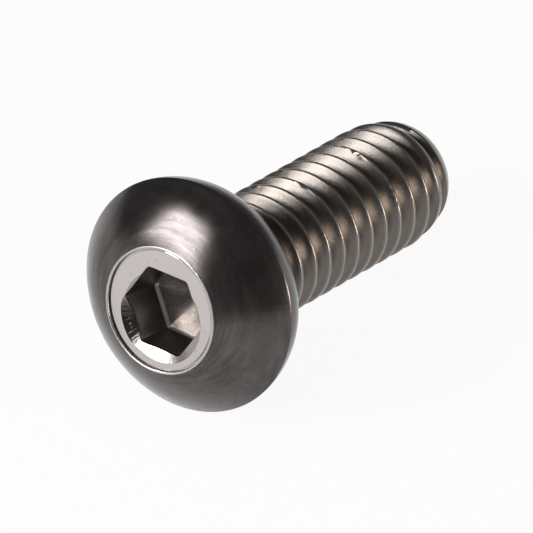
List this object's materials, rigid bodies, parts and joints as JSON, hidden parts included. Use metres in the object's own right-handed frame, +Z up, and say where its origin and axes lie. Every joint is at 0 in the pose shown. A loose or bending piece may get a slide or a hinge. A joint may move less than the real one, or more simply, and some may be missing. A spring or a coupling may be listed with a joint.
{
  "type": "button head screw",
  "caption": "Button head hexagon socket screw, M4 x 10, fully threaded, dark steel, lying on its rim and tip. Fastens thin parts with a low rounded head.",
  "frame": {"origin": "bottom centre of the bounding box, on the floor the screw lies on", "axes": "+X along the shank towards the tip, seen from above; +Z up; +Y completes the right hand. The screw's own axis slopes 10 degrees down towards the tip, as it lies."},
  "size_m": [0.0128, 0.0072, 0.0072],
  "materials": {
    "dark_steel": "dark passivated stainless steel, cold-formed, faintly pitted satin to glossy"
  },
  "bodies": {
    "root": {"button_head_screw": "dark_steel"}
  },
  "joints": []
}
